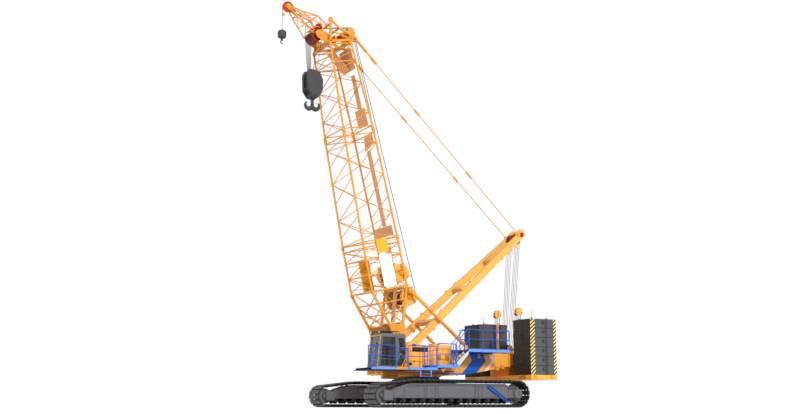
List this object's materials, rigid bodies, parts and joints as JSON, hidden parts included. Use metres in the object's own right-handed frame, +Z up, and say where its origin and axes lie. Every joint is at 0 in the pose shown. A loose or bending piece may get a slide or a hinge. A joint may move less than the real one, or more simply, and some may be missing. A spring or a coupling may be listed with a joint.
{
  "type": "crawler crane with a lattice boom",
  "caption": "Lattice-boom crawler crane parked on its tracks: slewing upperworks with cab, stacked counterweight, mast, luffing boom, main and auxiliary hooks.",
  "frame": {"origin": "centre of the base of the whole crane's box, on the ground; the slewing axis stands 0.74 m behind it", "axes": "+X forward, the way the boom points; +Y to the operator's left; +Z up"},
  "size_m": [15.403, 7.8, 21.3573],
  "materials": {
    "boom_yellow": "satin golden yellow paint",
    "mast_yellow": "satin light orange-yellow paint",
    "housing_yellow": "satin orange-yellow paint",
    "rail_blue": "satin blue paint",
    "frame_grey": "satin dark grey paint",
    "shoe_steel": "dark cast steel",
    "weight_grey": "matt grey paint on cast iron",
    "sheave_red": "satin dark red paint",
    "hook_grey": "satin dark grey paint on forged steel",
    "cab_grey": "satin grey paint",
    "cab_glass": "tinted safety glass",
    "seat_cloth": "black woven seat cloth",
    "wire_rope": "greased galvanised wire rope"
  },
  "bodies": {
    "undercarriage": {"left_track": "shoe_steel", "left_track_frame": "frame_grey", "left_idler": "frame_grey", "left_sprocket": "frame_grey", "right_track": "shoe_steel", "right_track_frame": "frame_grey", "right_idler": "frame_grey", "right_sprocket": "frame_grey", "carbody": "frame_grey", "slew_ring": "frame_grey"},
    "upperworks": {"turntable_frame": "housing_yellow", "cab_platform": "rail_blue", "left_walkway": "rail_blue", "rear_left_platform": "rail_blue", "right_platform": "rail_blue", "left_front_housing": "housing_yellow", "left_rear_housing": "housing_yellow", "engine_housing": "housing_yellow", "engine_block": "frame_grey", "counterweight_tray": "housing_yellow", "left_counterweight": "weight_grey", "right_counterweight": "weight_grey", "left_weight_lift": "mast_yellow", "right_weight_lift": "mast_yellow", "cab_shell": "cab_grey", "cab_seat": "seat_cloth", "cab_side_glass": "cab_glass", "cab_right_glass": "cab_glass", "cab_rear_glass": "cab_glass", "cab_windscreen": "cab_glass"},
    "boom": {"boom_root": "boom_yellow", "boom_insert": "boom_yellow", "boom_top": "boom_yellow", "boom_head": "boom_yellow", "head_sheaves": "sheave_red", "tip_jib": "boom_yellow", "tip_sheave": "sheave_red"},
    "mast": {"mast_left_leg": "mast_yellow", "mast_right_leg": "mast_yellow", "mast_lower_tie": "mast_yellow", "mast_upper_tie": "mast_yellow", "mast_head": "mast_yellow", "mast_sheaves": "sheave_red"},
    "pendants": {"left_pendant": "wire_rope", "right_pendant": "wire_rope"},
    "backstop_rods": {"left_backstop_rod": "wire_rope", "right_backstop_rod": "wire_rope"},
    "backstop_tubes": {"left_backstop_tube": "boom_yellow", "right_backstop_tube": "boom_yellow"},
    "upper_winch": {"upper_hoist_winch": "mast_yellow"},
    "lower_winch": {"lower_hoist_winch": "mast_yellow"},
    "boom_hoist_winch": {"boom_hoist_winch": "sheave_red"},
    "main_falls": {"main_falls": "wire_rope"},
    "main_hook_block": {"main_hook_block": "hook_grey"},
    "main_hook": {"main_hook": "hook_grey"},
    "aux_falls": {"aux_falls": "wire_rope"},
    "aux_hook_block": {"aux_hook_block": "hook_grey"},
    "cab_door": {"cab_door": "cab_grey", "cab_door_glass": "cab_glass"},
    "left_housing_door": {"left_housing_door": "housing_yellow"}
  },
  "joints": [
    {"name": "slew", "type": "hinge", "parent": "undercarriage", "child": "upperworks", "pos_m": [-0.74229, 0, 1.6], "axis": [0, 0, 1], "continuous": true},
    {"name": "boom_luff", "type": "hinge", "parent": "upperworks", "child": "boom", "pos_m": [0.7577, 0, 2.45], "axis": [0, 1, 0], "range_deg": [-6, 48]},
    {"name": "mast_luff", "type": "hinge", "parent": "upperworks", "child": "mast", "pos_m": [0.30771, 0, 3.145], "axis": [0, 1, 0], "range_deg": [-6.99, 52.39]},
    {"name": "pendant_swing", "type": "hinge", "parent": "mast", "child": "pendants", "pos_m": [-7.10532, 0, 9.71906], "axis": [0, 1, 0], "range_deg": [-4.59, 1.01]},
    {"name": "backstop_swing", "type": "hinge", "parent": "upperworks", "child": "backstop_rods", "pos_m": [-3.01229, 0, 3.19], "axis": [0, 1, 0], "range_deg": [-3.36, 23.36]},
    {"name": "backstop_extend", "type": "slide", "parent": "backstop_rods", "child": "backstop_tubes", "axis": [0.7663, 0, 0.6425], "range_m": [-0.29, 2.179]},
    {"name": "upper_winch_spin", "type": "hinge", "parent": "boom", "child": "upper_winch", "pos_m": [0.75844, 0, 7.05154], "axis": [0, 1, 0], "continuous": true},
    {"name": "lower_winch_spin", "type": "hinge", "parent": "boom", "child": "lower_winch", "pos_m": [0.25934, 0, 5.80047], "axis": [0, 1, 0], "continuous": true},
    {"name": "boom_hoist_winch_spin", "type": "hinge", "parent": "upperworks", "child": "boom_hoist_winch", "pos_m": [-2.1923, 0, 2.62], "axis": [0, 1, 0], "continuous": true},
    {"name": "main_fall_swing", "type": "hinge", "parent": "boom", "child": "main_falls", "pos_m": [5.6181, 0, 19.65319], "axis": [0, 1, 0], "range_deg": [-48.5, 6.5]},
    {"name": "main_hoist", "type": "slide", "parent": "main_falls", "child": "main_hook_block", "axis": [0, 0, -1], "range_m": [-0.5, 6.5], "deforming": ["main_falls"]},
    {"name": "main_hook_swivel", "type": "hinge", "parent": "main_hook_block", "child": "main_hook", "pos_m": [5.6581, 0, 16.55259], "axis": [0, 0, 1], "continuous": true},
    {"name": "aux_fall_swing", "type": "hinge", "parent": "boom", "child": "aux_falls", "pos_m": [7.17052, 0, 21.06755], "axis": [0, 1, 0], "range_deg": [-48.5, 6.5]},
    {"name": "aux_hoist", "type": "slide", "parent": "aux_falls", "child": "aux_hook_block", "axis": [0, 0, -1], "range_m": [-0.4, 6.5], "deforming": ["aux_falls"]},
    {"name": "cab_door_slide", "type": "slide", "parent": "upperworks", "child": "cab_door", "axis": [-1, 0, 0], "range_m": [0, 0.62]},
    {"name": "housing_door_swing", "type": "hinge", "parent": "upperworks", "child": "left_housing_door", "pos_m": [0.5377, 2.7533, 2.39], "axis": [0, 0, 1], "range_deg": [0, 95]}
  ],
  "couplings": [
    {"joint": "mast_luff", "follows": "boom_luff", "ratio": 1.081},
    {"joint": "pendant_swing", "follows": "boom_luff", "ratio": -0.08523},
    {"joint": "backstop_swing", "follows": "boom_luff", "ratio": 0.4763},
    {"joint": "backstop_extend", "follows": "boom_luff", "m_per_rad": 2.5771},
    {"joint": "main_fall_swing", "follows": "boom_luff", "ratio": -1},
    {"joint": "aux_fall_swing", "follows": "boom_luff", "ratio": -1}
  ]
}
